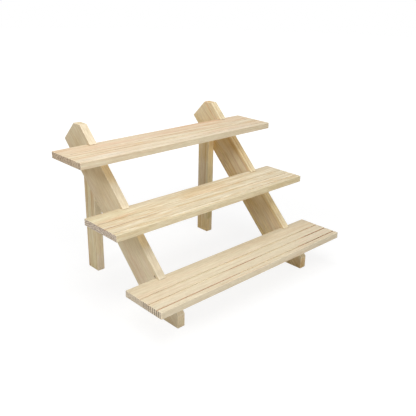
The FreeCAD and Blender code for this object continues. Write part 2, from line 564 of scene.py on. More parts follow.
def unroll(mesh, axis, fibre, perimeter):
    # a map for baked finishes: the sides rolled out in rows, with the two end faces beside them
    axis, fibre = Vector(axis), Vector(fibre)
    around = [d.value for d in mesh.attributes["around"].data]
    if abs(axis.dot(fibre)) < 0.5:
        flat, side = fibre, axis.cross(fibre)
    else:
        side = axis.orthogonal().normalized()
        flat = side.cross(axis).normalized()
    along, capSpan, capAcross = ([v.co.dot(way) for v in mesh.vertices]
                                 for way in (axis, flat, side))
    low, high = min(along), max(along)
    capLow, sideLow = min(capSpan), min(capAcross)
    long = high - low > perimeter      # a long sweep's side is one row, a short one's several
    row = (high - low if long else max(capSpan) - capLow) - mapLayout["overlap"]
    islands, corners = {}, {}
    for face in mesh.polygons:
        if abs(face.normal.dot(axis)) > 0.999:
            key = "cap" + str(face.normal.dot(axis) > 0)
            spots = [(capSpan[i] - capLow, capAcross[i] - sideLow) for i in face.vertices]
        else:
            turn = [around[i] for i in face.vertices]
            if max(turn) - min(turn) > perimeter / 2:
                turn = [t + perimeter if t < perimeter / 2 else t for t in turn]
            number = 0 if long else int(min(turn) / row)
            key = "side" + str(number)
            spots = [(along[i] - low, t) if long else (t - number * row, along[i] - low)
                     for i, t in zip(face.vertices, turn)]
        corners[face.index] = (key, spots)
        box = islands.setdefault(key, [0.0, 0.0])
        box[0] = max(box[0], *(s[0] for s in spots))
        box[1] = max(box[1], *(s[1] for s in spots))
    islands["hole"] = [mapLayout["hole"], mapLayout["hole"]]
    margin = mapLayout["margin"]
    places, x, y, tall = {}, 0.0, 0.0, 0.0
    width = max(box[0] for box in islands.values()) + margin
    for key, (spanU, spanV) in sorted(islands.items(), key=lambda item: -item[1][0]):
        if x + spanU > width:
            x, y, tall = 0.0, y + tall, 0.0
        places[key] = Vector((x + margin / 3, y + margin / 3))
        x, tall = x + spanU + margin, max(tall, spanV + margin)
    scale = Vector((1 / width, 1 / (y + tall)))
    layer = mesh.uv_layers.new(name="OFBake")
    for face in mesh.polygons:
        key, spots = corners[face.index]
        for loop, spot in zip(face.loop_indices, spots):
            layer.data[loop].uv = (places[key] + Vector(spot)) * scale
    middle = (places["hole"] + Vector(islands["hole"]) / 2) * scale
    return middle, scale


def dress(board, material, body, node):
    board.data.materials.clear()
    board.data.materials.append(material)
    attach(board, body)
    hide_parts(node)
    node + "_wood"


# shelves: one rule for all three, with its sizes as named inputs

shelfShape = {
    "Arris": boardShape["arris"],
    "Groove Count": 3,
    "First Groove": 10.5 * mm,         # front edge to the middle of the first groove
    "Groove Pitch": 21.0 * mm,
    "Groove Width": 2.0 * mm,
    "Groove Depth": 1.5 * mm,
    "Lip": 0.25 * mm,                  # rounding where a groove meets the top
    "Stations": 64,
}


def groovedShelfTree():
    takes = {"Geometry": "Geometry", "Length": 0.45, "Depth": 0.09, "Thickness": 0.012,
             "Front Corner": (0.0, 0.0, 0.0), **shelfShape, "Material": "Material"}
    tree, take, give = newTree("groovedShelf", "GeometryNodeTree", takes, ("Geometry",))
    index = wire(tree, "GeometryNodeInputIndex")
    quarter = math.pi / 2
    nudge = 0.01                       # keeps a whole number from being floored to the one below

    # the section: corners in the order front low, back low, back top, the grooves, front top
    perCorner, perGroove = arcSteps + 1, 2 * (lipSteps + 1) + 2
    grooved = take["Groove Count"] * perGroove
    total = grooved + 4 * perCorner
    place = index - 3 * perCorner
    isGroove = place.above(-0.5) * place.below(grooved - 0.5)
    atCorner = choose(tree, place.above(grooved - 0.5), index - grooved, index)
    corner = ((atCorner + nudge) / perCorner).calc("FLOOR")
    step = (atCorner - corner * perCorner) / arcSteps
    angle = (corner + step) * quarter + math.pi
    sine, cosine = angle.calc("SINE"), angle.calc("COSINE")
    backSide = corner.above(0.5) * corner.below(2.5)
    arris = take["Arris"]
    cornerY = choose(tree, backSide, take["Depth"] - arris, arris) + cosine * arris
    cornerZ = choose(tree, corner.below(1.5), arris, take["Thickness"] - arris) + sine * arris
    groove = ((place + nudge) / perGroove).calc("FLOOR")
    spot = place - groove * perGroove
    backHalf = spot.below(perGroove / 2 - 0.5)
    climb = choose(tree, backHalf, spot, (perGroove - 1) - spot)
    floor = climb.above(lipSteps + 0.5)
    turn = climb * (quarter / lipSteps) + quarter
    halfWidth, lip = take["Groove Width"] / 2, take["Lip"]
    reach = choose(tree, floor, halfWidth, halfWidth + lip + turn.calc("COSINE") * lip)
    drop = choose(tree, floor, take["Groove Depth"] * -1.0, turn.calc("SINE") * lip - lip)
    middle = take["First Groove"] + take["Groove Pitch"] * (take["Groove Count"] - 1 - groove)
    grooveY = middle + choose(tree, backHalf, reach, reach * -1.0)
    sectionY = choose(tree, isGroove, grooveY, cornerY)
    sectionZ = choose(tree, isGroove, take["Thickness"] + drop, cornerZ)
    pullY = choose(tree, isGroove, 0.0, cosine * -1.0)
    pullZ = choose(tree, isGroove, floor - 1.0, sine * -1.0)
    rounded = choose(tree, isGroove, turn.calc("SINE") * (1.0 - floor) * 0.3,
                     (step * math.pi).calc("SINE"))
    section = wire(tree, "GeometryNodePoints", {"Count": total,
                   "Position": joined(tree, sectionY, sectionZ, 0.0)})

    # a grid with one row for each point of the section, rolled round it station by station
    stations = take["Stations"] + 2 * easeSteps
    grid = wire(tree, "GeometryNodeMeshGrid", {"Vertices X": stations, "Vertices Y": total + 1})
    column = ((index + nudge) / (total + 1)).calc("FLOOR")
    row = index - column * (total + 1)
    wrapped = choose(tree, row.above(total - 0.5), 0.0, row)

    def sampled(value, row):
        return wire(tree, "GeometryNodeSampleIndex", {0: section, 1: value, 2: row})

    def marked(mesh, marks):
        for label, value in marks.items():
            values = {"Geometry": mesh, "Name": label, "Value": value}
            mesh = wire(tree, "GeometryNodeStoreNamedAttribute", values)
        return mesh

    def placed(mesh, x, row, drawIn):
        # on the section at a row, drawn in where the end is rounded
        y = sampled(sectionY, row) + sampled(pullY, row) * drawIn
        z = sampled(sectionZ, row) + sampled(pullZ, row) * drawIn
        return movedTo(tree, mesh, vectors(tree, "ADD", joined(tree, x, y, z),
                                           take["Front Corner"]))

    back = stations - 1 - column
    nearest = column.calc("MINIMUM", back)
    phase = nearest.calc("MINIMUM", easeSteps) * (quarter / easeSteps)
    depth = (1.0 - phase.calc("COSINE")) * arris
    inner = (column - easeSteps) / (stations - 1 - 2 * easeSteps)
    inner = inner * (take["Length"] - arris * 2.0) + arris
    along = choose(tree, column.below(easeSteps - 0.5), depth,
                   choose(tree, back.below(easeSteps - 0.5), take["Length"] - depth, inner))
    onFloor = isGroove * floor
    number = choose(tree, isGroove, take["Groove Count"] - groove, 0.0)
    atEnd = (phase * 2.0).calc("SINE") * nearest.below(easeSteps - 0.5)
    cut = sampled(onFloor, wrapped)
    edge = sampled(rounded, wrapped).calc("MAXIMUM", atEnd * (1.0 - cut))
    sides = marked(grid, {"around": wrapped, "sawn": cut, "groove": sampled(number, wrapped),
                          "arris": edge})
    sides = placed(sides, along, wrapped, (1.0 - phase.calc("SINE")) * arris)

    # the two end faces
    cap = wire(tree, "GeometryNodeMeshCircle", {"Vertices": total}, fill_type="NGON")
    cap = marked(cap, {"around": index, "sawn": sampled(onFloor, index),
                       "arris": sampled(rounded, index), "groove": sampled(number, index)})
    ends = [placed(cap, x, index, arris) for x in (0.0, take["Length"])]
    merged = wire(tree, "GeometryNodeMergeByDistance", {0: joinedShapes(tree, sides, *ends),
                  "Distance": 1e-6})
    return endTree(tree, take, give, merged)


shelfTree = groovedShelfTree()


def setInputs(modifier, values):
    # by each socket's identifier, before the object is first evaluated
    for item in modifier.node_group.interface.items_tree:
        if item.in_out == "INPUT" and item.name in values:
            modifier[item.identifier] = values[item.name]


def makeShelf(name, node, burns, seed):
    low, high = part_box(node)
    shelf = addObject(name, bpy.data.meshes.new(name))
    modifier = shelf.modifiers.new("groovedShelf", "NODES")
    modifier.node_group = shelfTree
    size = high - low
    setInputs(modifier, {**shelfShape, "Length": size.x, "Depth": size.y, "Thickness": size.z,
                         "Front Corner": tuple(low)})
    mesh = evaluated(shelf)
    bpy.data.objects.remove(shelf)
    settle(mesh)
    perimeter = realAround(mesh, low.x + size.x / 2)
    scorch(mesh, low.x, size.x, burns)
    unroll(mesh, (1, 0, 0), (1, 0, 0), perimeter)
    return finishBoard(name, mesh, seed)


def realAround(mesh, middle):
    # place round the section in metres, in the order of the section's points
    found = {}
    rows = mesh.attributes["around"].data
    for vertex in mesh.vertices:
        row = int(rows[vertex.index].value + 0.5)
        if row not in found or abs(vertex.co.x - middle) < abs(found[row].x - middle):
            found[row] = vertex.co.copy()
    total, previous, lengths = 0.0, None, {}
    for row in sorted(found):
        if previous is not None:
            total += (found[row] - previous).yz.length
        lengths[row] = total
        previous = found[row]
    for item in rows:
        item.value = lengths[int(item.value + 0.5)]
    return total + (found[0] - previous).yz.length


def scorch(mesh, start, length, burns):
    # brown where the saw ran hot: burns are (groove from the front, middle, reach, strength)
    mesh.attributes.new("burn", "FLOAT", "POINT")
    groove, sawn, burn = (mesh.attributes[label].data for label in ("groove", "sawn", "burn"))
    for vertex in mesh.vertices:
        along = (vertex.co.x - start) / length
        heat = boardShape["sawHeat"]
        for number, middle, reach, strength in burns:
            if round(groove[vertex.index].value) == number:
                heat += strength * max(0.0, 1 - ((along - middle) / reach) ** 2)
        burn[vertex.index].value = heat * sawn[vertex.index].value


shelves = {
    "bottomShelfBoard": {
        "node": "bottom_shelf", "seed": 3.0,
        "burns": [(1, 0.91, 0.18, 1.1), (2, 0.93, 0.1, 1.2), (3, 0.95, 0.12, 0.3),
                  (1, 0.05, 0.1, 0.35), (1, 0.26, 0.18, 0.4), (2, 0.47, 0.12, 0.5),
                  (3, 0.06, 0.12, 0.2), (2, 0.06, 0.12, 0.2)],
        "look": {
            "light": tint(224, 211, 182), "pith": (0.12, 0.004), "spacing": 4.6 * mm,
            "wobble": 0.6 * mm, "unevenness": 0.9, "ringDepth": 0.08,
            "endLight": tint(232, 216, 190), "endLate": tint(74, 50, 34), "endDepth": 1.3,
            "blot": tint(146, 114, 94), "blotDepth": 0.4, "warmth": 0.1, "blushDepth": 0.2,
            "lines": 330.0, "lineDepth": 0.22, "paleDepth": 0.22, "streakDepth": 0.08,
            "speckleDepth": 0.32, "waver": 0.4 * mm, "calmEnd": 2.0 * mm,
            "streaksAndPaintedLight": [
                streak(170, 70, -24, 5, 0.5, (232, 200, 180)),
                streak(-8, 50, 6, 2, 0.6, (226, 178, 128)),
                streak(-190, 60, -40, 4, 0.5, (246, 232, 206)),
                streak(225, 110, -13.5, 2.8, 0.8, (204, 136, 78), wander=0.0),
                streak(225, 60, 7.5, 2.4, 0.6, (210, 152, 96), wander=0.0),
                streak(225, 75, -34.5, 2.2, 0.6, (190, 128, 78), wander=0.0),
                # painted shade on two stretches of the front face
                paintedFrontLightAndShade(-170, 140, -46, 3, 0.7, (215, 200, 172), 0.3),
                paintedFrontLightAndShade(190, 90, -46, 3, 0.7, (214, 202, 176), 0.3)]}},
    "middleShelfBoard": {
        "node": "middle_shelf", "seed": 8.0,
        "burns": [(3, 0.06, 0.12, 0.3), (2, 0.1, 0.15, 0.65), (2, 0.85, 0.2, 0.2)],
        "look": {
            "light": tint(224, 212, 183), "pith": (0.004, -0.055), "tilt": (3.2, 0.6),
            "spacing": 3.4 * mm, "wobble": 2.6 * mm, "ringDepth": 0.6, "endDepth": 1.0,
            "endLight": tint(228, 212, 192), "endLate": tint(120, 88, 74),
            "blot": tint(134, 98, 82), "blotDepth": 0.5, "warm": tint(224, 204, 158),
            "warmth": 0.22, "blushDepth": 0.12, "line": tint(206, 168, 104), "lines": 280.0,
            "lineDepth": 0.55, "paleDepth": 0.65, "speckleDepth": 0.4, "waver": 3.0 * mm,
            "streaksAndPaintedLight": [
                streak(-200, 70, 30, 18, 0.6, (224, 216, 180)),
                streak(-185, 45, 12, 2.4, 0.7, (222, 172, 132), lean=0.03),
                streak(-150, 80, -7, 1.8, 0.7, (220, 174, 122), lean=0.05),
                streak(-150, 70, -22, 3.5, 0.6, (250, 242, 222), lean=0.06),
                streak(-20, 110, -14, 2, 0.6, (222, 182, 118), lean=-0.03),
                streak(30, 90, 8, 2.5, 0.6, (226, 180, 128)),
                streak(60, 120, 16, 8, 0.28, (232, 196, 156)),
                streak(130, 90, -20, 2.5, 0.6, (226, 190, 134), lean=-0.04),
                streak(0, 600, -46, 7, 0.7, (226, 210, 170)),
                # painted shade on both ends of the front face
                paintedFrontLightAndShade(190, 110, -46, 3, 0.7, (212, 194, 150), 0.3),
                paintedFrontLightAndShade(-190, 110, -46, 3, 0.6, (216, 200, 164), 0.3)]}},
    "topShelfBoard": {
        "node": "top_shelf", "seed": 14.0,
        "burns": [(1, 0.9, 0.2, 0.2), (2, 0.9, 0.2, 0.2)],
        "look": {
            "light": tint(226, 212, 182), "pith": (0.07, -0.03), "tilt": (0.8, 0.4),
            "spacing": 4.2 * mm, "ringDepth": 0.4, "endLight": tint(226, 204, 174),
            "endLate": tint(116, 82, 60), "endDepth": 1.0, "blot": tint(120, 80, 52),
            "blotDepth": 0.6, "warmth": 0.4, "lines": 260.0, "lineDepth": 0.55,
            "paleDepth": 0.5, "waver": 1.5 * mm,
            "streaksAndPaintedLight": [
                streak(0, 300, 24, 26, 0.5, (228, 192, 160)),
                streak(0, 300, -36, 16, 0.4, (230, 220, 202)),
                # painted shade along the whole front face
                paintedFrontLightAndShade(0, 600, -46, 4, 0.8, (220, 206, 176), 0.3),
                streak(-200, 90, -34, 10, 0.6, (236, 228, 214)),
                streak(-150, 90, 2, 3, 0.6, (224, 184, 148)),
                streak(60, 120, -18, 3, 0.5, (220, 178, 136)),
                streak(110, 110, 37, 5, 0.8, (222, 168, 124)),
                streak(108, 12, 19, 4, 0.7, (224, 190, 120)),
                streak(-80, 12, -5, 3, 0.7, (224, 190, 120)),
                streak(-130, 70, 22, 3, 0.6, (222, 178, 136))]}},
}

for name, plan in shelves.items():
    shelf = makeShelf(name, plan["node"], plan["burns"], plan["seed"])
    low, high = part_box(plan["node"])
    material = woodMaterial(name + "Wood", (low + high) / 2, (1, 0, 0), (0, 1, 0), plan["look"],
                            plan["seed"])
    dress(makePlain(shelf), material, plan["node"], plan["node"])
print("shelves made:", len(shelves))


# stringers and legs: an outline of eased corners, drawn out to the board's thickness

def corner(y, z, ease, turn=0.0, blunt=0.0, sawn=False):
    # turn is the radius it is rounded to, blunt how far a thin tip is worn back;
    # ease and sawn tell of the edge that follows, anticlockwise
    return {"at": Vector((y, z)), "ease": ease, "turn": turn, "blunt": blunt, "sawn": float(sawn)}


def roundedOutline(corners):
    # each point of the ring: place, pull of a rounded face edge, its depth, arris and sawn marks
    ring, runs = [], []
    for number, here in enumerate(corners):
        before, after = corners[number - 1], corners[(number + 1) % len(corners)]
        goingIn = (here["at"] - before["at"]).normalized()
        goingOut = (after["at"] - here["at"]).normalized()
        inNormal, outNormal = (Vector((way.y, -way.x)) for way in (goingIn, goingOut))
        low, high = before["ease"], here["ease"]
        if here["turn"]:
            turn = -goingIn.angle_signed(goingOut)
            start = here["at"] - goingIn * here["turn"] * math.tan(abs(turn) / 2)
            centre = start - inNormal * here["turn"]
            points = []
            for k in range(arcSteps + 1):
                normal = Matrix.Rotation(turn * k / arcSteps, 2) @ inNormal
                points.append((centre + normal * here["turn"], normal * -high, high,
                               math.sin(math.pi * k / arcSteps), 0.0))
        else:
            # the place where the two edges meet once each is eased by its own amount
            drawn = here["at"] + Vector((high * inNormal.y - low * outNormal.y,
                low * outNormal.x - high * inNormal.x)) / inNormal.cross(outNormal)
            blunt, sawn = here["blunt"], max(here["sawn"], before["sawn"]) / 2
            ways = (-goingIn, goingOut) if blunt else (goingOut,)
            spots = [here["at"] + way * blunt for way in ways]
            points = [(spot, drawn - spot, max(low, high), 0.0, sawn) for spot in spots]
        ring.append(points)
        runs.append((outNormal * -high, high, 0.0, here["sawn"]))
    whole = []
    for number, points in enumerate(ring):
        whole += points
        start, end = points[-1][0], ring[(number + 1) % len(ring)][0][0]
        pieces = int((end - start).length / boardShape["spacing"])
        whole += [(start.lerp(end, k / pieces), *runs[number]) for k in range(1, pieces)]
    return whole


def perimeterOf(ring):
    return sum((ring[k][0] - ring[k - 1][0]).length for k in range(len(ring)))


def tubeFaces(count, rows):
    # the faces of a closed tube of rings, each of count points
    faces = [tuple(range(count)), tuple(reversed(range(count * (rows - 1), count * rows)))]
    for start in range(0, count * (rows - 1), count):
        for k in range(count):
            a, b = start + k, start + (k + 1) % count
            faces.append((a, a + count, b + count, b))
    return faces


def drawnBoard(name, ring, low, high, toPlace):
    # the ring swept from low to high, its first and last few stations rounding the face edges
    arris = boardShape["arris"]
    inner = max(1, int((high - low) / boardShape["spacing"]))
    stations = [("low", k) for k in range(easeSteps + 1)]
    stations += [("inner", k / inner) for k in range(1, inner)]
    stations += [("high", k) for k in range(easeSteps, -1, -1)]
    points = []
    marks = {"arris": [], "sawn": [], "around": [], "burn": []}
    for kind, k in stations:
        length = 0.0
        for number, (spot, pull, ease, rounded, cut) in enumerate(ring):
            if number:
                length += (spot - ring[number - 1][0]).length
            phase = math.pi / 2 if kind == "inner" else math.pi / 2 * k / easeSteps
            depth = ease * (1 - math.cos(phase))
            if kind == "inner":
                reach = low + arris + (high - low - 2 * arris) * k
            else:
                reach = low + depth if kind == "low" else high - depth
            points.append(toPlace(spot + pull * (1 - math.sin(phase)), reach))
            edge = math.sin(2 * phase) if kind != "inner" else 0.0
            marks["arris"].append(max(rounded, edge * min(1.0, ease / arris)))
            marks["sawn"].append(cut)
            marks["around"].append(length)
            marks["burn"].append(boardShape["sawHeat"] * cut)
    mesh = bpy.data.meshes.new(name)
    mesh.from_pydata(points, [], tubeFaces(len(ring), len(stations)))
    for label, values in marks.items():
        mesh.attributes.new(label, "FLOAT", "POINT").data.foreach_set("value", values)
    return settle(mesh)


stringerShape = {
    "width": 64.0 * mm,                # square across the board
    "slope": math.radians(45.0),       # from the floor
    "crown": 21.0 * mm,                # front to back length of the flat top
    "rearTurn": 1.4 * mm,              # rounding of the rear corner below it
    "toe": 24.0 * mm,                  # the sharp toe cut back by this much
    "slotPlay": 0.5 * mm,              # room over a shelf
    "slotEnd": 0.3 * mm,               # room behind it
    "blunt": 0.4 * mm,                 # worn tip of the thin edge over each slot
}
uphill = (0, math.cos(stringerShape["slope"]), math.sin(stringerShape["slope"]))


def stringerCorners(node):
    low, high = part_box(node)
    shape, ease, cut = stringerShape, boardShape["arris"], boardShape["sawnArris"]
    rise = math.tan(shape["slope"])
    front = low.y - shape["toe"]       # where the front edge would meet the floor
    crownBack = front + high.z / rise + shape["crown"]
    cutLength = shape["width"] - shape["crown"] * uphill[2]
    corners = [
        corner(low.y, low.z, ease, ease),
        corner(front + shape["width"] / uphill[2], low.z, ease, ease),
        corner(crownBack + cutLength * uphill[2], high.z - cutLength * uphill[1], ease,
               shape["rearTurn"]),
        corner(crownBack, high.z, ease, ease),
        corner(front + high.z / rise, high.z, ease, ease),
    ]
    for shelf in ("top_shelf", "middle_shelf", "bottom_shelf"):
        shelfLow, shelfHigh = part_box(shelf)
        ceiling, seat = shelfHigh.z + shape["slotPlay"], shelfLow.z
        end = shelfHigh.y + shape["slotEnd"]
        corners += [
            corner(front + ceiling / rise, ceiling, cut, blunt=shape["blunt"], sawn=True),
            corner(end, ceiling, cut, sawn=True),
            corner(end, seat, cut, sawn=True),
            corner(front + seat / rise, seat, ease),
        ]
    corners.append(corner(low.y, low.z + shape["toe"] * rise, ease, ease))
    return corners


def makeStringer(name, node, seed):
    low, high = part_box(node)
    ring = roundedOutline(stringerCorners(node))
    mesh = drawnBoard(name, ring, low.x, high.x, lambda spot, reach: (reach, spot.x, spot.y))
    patch = unroll(mesh, (1, 0, 0), uphill, perimeterOf(ring))
    return finishBoard(name, mesh, seed), patch


def makeLeg(name, node, seed):
    low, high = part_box(node)
    ease = boardShape["arris"]
    ring = roundedOutline([corner(x, y, ease, ease) for x, y in
                           ((low.x, low.y), (high.x, low.y), (high.x, high.y), (low.x, high.y))])
    mesh = drawnBoard(name, ring, low.z, high.z, lambda spot, reach: (spot.x, spot.y, reach))
    patch = unroll(mesh, (0, 0, 1), (0, 0, 1), perimeterOf(ring))
    return finishBoard(name, mesh, seed), patch


# screws: one countersunk wood screw, set at each place by Geometry Nodes

screwShape = {
    "Head Radius": 3.6 * mm,
    "Head Rim": 0.25 * mm,             # upright edge of the head
    "Core Radius": 1.15 * mm,
    "Thread Radius": 1.7 * mm,
    "Length": 25.0 * mm,
    "Tip Length": 4.0 * mm,
    "Tip Radius": 0.12 * mm,
    "Thread Pitch": 1.8 * mm,
    "Thread Fade": 0.25 * mm,          # how far its upper end sinks into the core
    "Plain Length": 6.0 * mm,          # below the head, with no thread
    "Recess Size": 3.7 * mm,
    "Recess Depth": 1.9 * mm,
    "Recess Slot": 0.95 * mm,
    "Seed": 4,
}


def screwTree():
    takes = {"Geometry": "Geometry", **screwShape, "Material": "Material"}
    tree, take, give = newTree("woodScrews", "GeometryNodeTree", takes, ("Geometry",))
    x, y, z = parted(tree, wire(tree, "GeometryNodeInputPosition"))

    # head, countersink, core and point are one turned form: rings of (depth, radius) from the top
    head, core, rim = take["Head Radius"], take["Core Radius"], take["Head Rim"]
    length, tip = take["Length"], take["Tip Length"]
    rings = [(0.0, head - rim), (rim, head), (rim + head - core, core), (length - tip, core),
             (length, take["Tip Radius"])]
    ring = (0.5 - z) * (len(rings) - 1)
    depth, radius = rings[-1]
    for number in range(len(rings) - 2, -1, -1):
        depth, radius = [choose(tree, ring.below(number + 0.5), yes, no)
                         for yes, no in zip(rings[number], (depth, radius))]
    rod = wire(tree, "GeometryNodeMeshCylinder", {"Vertices": 32, "Radius": 1.0, "Depth": 1.0,
               "Side Segments": len(rings) - 1})
    rod = movedTo(tree, rod, joined(tree, x * radius, y * radius, depth * -1.0))

    # a cross recess that narrows towards its bottom
    narrow = (z / take["Recess Depth"] + 1.0).ease(0.0, 1.0, 0.42, 1.0)
    recessed = put(tree, "GeometryNodeMeshBoolean", {"Mesh 1": rod}, solver="EXACT")
    arms = take["Recess Size"], take["Recess Slot"]
    for width, breadth in (arms, arms[::-1]):
        size = joined(tree, width, breadth, take["Recess Depth"] * 2.0)
        bar = wire(tree, "GeometryNodeMeshCube", {"Size": size, "Vertices Z": 3})
        bar = movedTo(tree, bar, joined(tree, x * narrow, y * narrow, z))
        feed(tree, recessed.inputs["Mesh 2"], bar)

    # the thread winds up from the point and fades out below the countersink
    threaded = length - tip - take["Plain Length"]
    spiral = wire(tree, "GeometryNodeCurveSpiral", {"Resolution": 18, "Height": threaded,
                  "Rotations": threaded / take["Thread Pitch"], "Start Radius": core,
                  "End Radius": core - take["Thread Fade"]})
    spiral = wire(tree, "GeometryNodeTransform", {"Geometry": spiral,
                  "Translation": joined(tree, 0.0, 0.0, tip - length)})
    spiral = wire(tree, "GeometryNodeSetCurveNormal", {0: spiral}, mode="Z_UP")
    ridge = wire(tree, "GeometryNodeCurvePrimitiveCircle",
                 {"Resolution": 3, "Radius": take["Thread Radius"] - core})
    thread = wire(tree, "GeometryNodeCurveToMesh", {"Curve": spiral, "Profile Curve": ridge,
                  "Fill Caps": True})
    screw = joinedShapes(tree, recessed.outputs[0], thread)

    # each point's aim is the way its screw's head faces
    aim = wire(tree, "GeometryNodeInputNamedAttribute", {"Name": "aim"}, data_type="FLOAT_VECTOR")
    spin = wire(tree, "FunctionNodeRandomValue", {2: 0.0, 3: 3.1, "Seed": take["Seed"]}, 1)
    turned = wire(tree, "FunctionNodeAxisAngleToRotation", {"Axis": (0.0, 0.0, 1.0),
                  "Angle": spin})
    facing = wire(tree, "FunctionNodeAlignRotationToVector", {"Vector": aim}, axis="Z")
    facing = wire(tree, "FunctionNodeRotateRotation", {"Rotation": facing, "Rotate By": turned},
                  rotation_space="LOCAL")
    copies = wire(tree, "GeometryNodeInstanceOnPoints", {"Points": take["Geometry"],
                  "Instance": screw, "Rotation": facing})
    return endTree(tree, take, give, copies)


def screwPlaces():
    # two to a leg, one low at the front and one high at the back, heads on the leg's inner face
    found = {}
    radius = screwShape["Head Radius"]
    for name, side in (("left", -1), ("right", 1)):
        low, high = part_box(name + "_leg_screws")
        legLow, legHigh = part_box(name + "_leg")
        face = legHigh.x if side < 0 else legLow.x
        found[name] = [(Vector((face, y, z)), Vector((-side, 0, 0))) for y, z in
                       ((low.y + radius, low.z + radius), (high.y - radius, high.z - radius))]
    return found


steelLook = {"colour": tint(196, 190, 172), "tarnish": tint(150, 138, 112), "roughness": 0.34}


def steelMaterial():
    material = bpy.data.materials.new("screwSteel")
    tree = clearedTree(material)
    place = wire(tree, "ShaderNodeTexCoord", output="Object")
    cloud = stretchedNoise(tree, place, (500, 500, 500), (0.0, 0.0, 0.0))
    scratch = stretchedNoise(tree, place, (2500, 9000, 700), (3.0, 1.0, 2.0))
    colour = blend(tree, cloud.ease(0.4, 0.7), steelLook["colour"], steelLook["tarnish"])
    rough = steelLook["roughness"] + (cloud - 0.5) * 0.15 + (scratch - 0.5) * 0.12
    bump = wire(tree, "ShaderNodeBump", {"Strength": 0.25, "Distance": 0.03 * mm,
                "Height": scratch + cloud})
    shader = wire(tree, "ShaderNodeBsdfPrincipled", {"Base Color": colour, "Metallic": 1.0,
                  "Roughness": rough, "Normal": bump})
    put(tree, "ShaderNodeOutputMaterial", {"Surface": shader})
    layOut(tree)
    return material


def makeScrews(places):
    mesh = bpy.data.meshes.new("legScrews")
    mesh.from_pydata([place for place, aim in places], [], [])
    aims = mesh.attributes.new("aim", "FLOAT_VECTOR", "POINT")
    for item, (place, aim) in zip(aims.data, places):
        item.vector = aim
    screws = addObject("legScrews", mesh)
    modifier = screws.modifiers.new("woodScrews", "NODES")
    modifier.node_group = screwTree()
    steel = steelMaterial()
    setInputs(modifier, {**screwShape, "Material": steel})
    makePlain(screws)
    screws.data.materials.clear()
    screws.data.materials.append(steel)
    screws.data.shade_smooth()
    settle(screws.data)
    markSharp(screws.data, degrees=30)
    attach(screws, "frame")
    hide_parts("left_leg_screws", "right_leg_screws")


holeShape = {
    "room": 0.05 * mm,                 # round the screw
    "proud": 1.0 * mm,                 # how far the cutter stands out of the board
    "beyond": 0.5 * mm,                # past the tip of the screw
    "tip": 0.2 * mm,                   # radius of the hole's point
    "sides": 40,
}


def holeCutter(place, aim, patch):
    # the space that a screw fills, with a little room
    shape, rim, length = holeShape, screwShape["Head Rim"], screwShape["Length"]
    head = screwShape["Head Radius"] + shape["room"]
    core = screwShape["Thread Radius"] + shape["room"]
    section = [(-shape["proud"], head), (rim, head), (rim + head - core, core), (length, core),
               (length + shape["beyond"], shape["tip"])]
    count = shape["sides"]
    inward, side = -aim, Vector((0, 1, 0))
    up = inward.cross(side)
    points = [place + inward * depth + (side * math.cos(a) + up * math.sin(a)) * radius
              for depth, radius in section for a in (2 * math.pi * k / count for k in range(count))]
    mesh = bpy.data.meshes.new("hole")
    mesh.from_pydata(points, [], tubeFaces(count, len(section)))
    settle(mesh)
    layer = mesh.uv_layers.new(name="OFBake")
    middle, scale = patch
    for loop in mesh.loops:
        spot = (mesh.vertices[loop.vertex_index].co - place).yz
        layer.data[loop.index].uv = middle + spot * scale
    return addObject("hole", mesh)


def drill(board, cutters):
    for cutter in cutters:
        cut = board.modifiers.new("screwHole", "BOOLEAN")
        cut.object = cutter
        cut.solver = "EXACT"
        board.modifiers.move(len(board.modifiers) - 1, 0)
    makePlain(board)
    for cutter in cutters:
        bpy.data.objects.remove(cutter)


